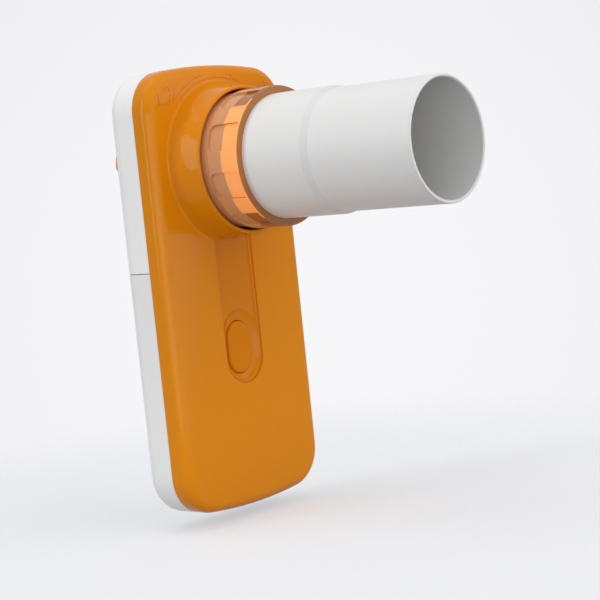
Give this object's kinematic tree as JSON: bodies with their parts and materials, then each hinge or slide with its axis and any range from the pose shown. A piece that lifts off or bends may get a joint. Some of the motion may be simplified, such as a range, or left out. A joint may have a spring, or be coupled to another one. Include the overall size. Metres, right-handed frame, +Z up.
{
  "type": "handheld spirometer",
  "caption": "Slim hand-held breath meter with a flared collar that takes a removable turbine and a round mouthpiece tube, a button in a channel, and a sliding battery door.",
  "frame": {"origin": "middle of the housing, on the parting plane of its front and rear halves", "axes": "+X right seen from the front, front and mouthpiece towards -Y, +Z up along the housing"},
  "size_m": [0.049, 0.0893, 0.109],
  "materials": {
    "orange_cover": "satin moulded orange plastic",
    "white_shell": "satin moulded white plastic",
    "amber_clear": "polished translucent amber plastic",
    "mouth_tube": "smooth coated white tube",
    "dark_inner": "matt dark moulded plastic",
    "board": "green solder mask",
    "chip": "matt black package",
    "shield": "tinned steel",
    "cell": "printed foil wrap, bare",
    "spring_metal": "nickel plated",
    "screw_steel": "zinc plated",
    "seal_rubber": "black rubber",
    "foam": "closed-cell foam",
    "vane_black": "black film",
    "pivot_brass": "turned brass"
  },
  "bodies": {
    "housing": {"front_cover": "orange_cover", "rear_cover": "white_shell", "turbine_seat": "dark_inner", "main_board": "board", "microcontroller": "chip", "wireless_module": "shield", "crystal_oscillator": "shield", "tact_switch": "chip", "ir_emitters": "chip", "ir_receivers": "chip", "battery_tray": "dark_inner", "battery_cell_left": "cell", "battery_cell_right": "cell", "contact_positive": "spring_metal", "contact_negative": "spring_metal", "contact_link": "spring_metal", "cover_screws": "screw_steel", "board_screws": "screw_steel", "tray_screws": "screw_steel"},
    "button": {"power_button": "orange_cover"},
    "seal": {"turbine_seal": "seal_rubber"},
    "turbine": {"turbine_barrel": "amber_clear", "front_deflector": "amber_clear", "rear_deflector": "amber_clear", "front_bearing": "pivot_brass", "rear_bearing": "pivot_brass"},
    "rotor": {"rotor_shaft": "screw_steel", "rotor_vane": "vane_black"},
    "mouth_tube": {"mouthpiece": "mouth_tube"},
    "door": {"battery_door": "white_shell", "battery_pad": "foam"}
  },
  "joints": [
    {"name": "power_button_press", "type": "slide", "parent": "housing", "child": "button", "axis": [0, 1, 0], "range_m": [0, 0.0005], "stiffness_N_per_m": 4000},
    {"name": "turbine_pull", "type": "slide", "parent": "housing", "child": "seal", "axis": [0, -1, 0], "range_m": [0, 0.04]},
    {"name": "turbine_turn", "type": "hinge", "parent": "seal", "child": "turbine", "pos_m": [0, 0, 0.0306], "axis": [0, 1, 0], "range_deg": [0, 40]},
    {"name": "rotor_spin", "type": "hinge", "parent": "turbine", "child": "rotor", "pos_m": [0, 0, 0.0306], "axis": [0, 1, 0], "continuous": true},
    {"name": "mouthpiece_pull", "type": "slide", "parent": "turbine", "child": "mouth_tube", "axis": [0, -1, 0], "range_m": [0, 0.02]},
    {"name": "battery_door_slide", "type": "slide", "parent": "housing", "child": "door", "axis": [0, 0, -1], "range_m": [0, 0.06]}
  ]
}
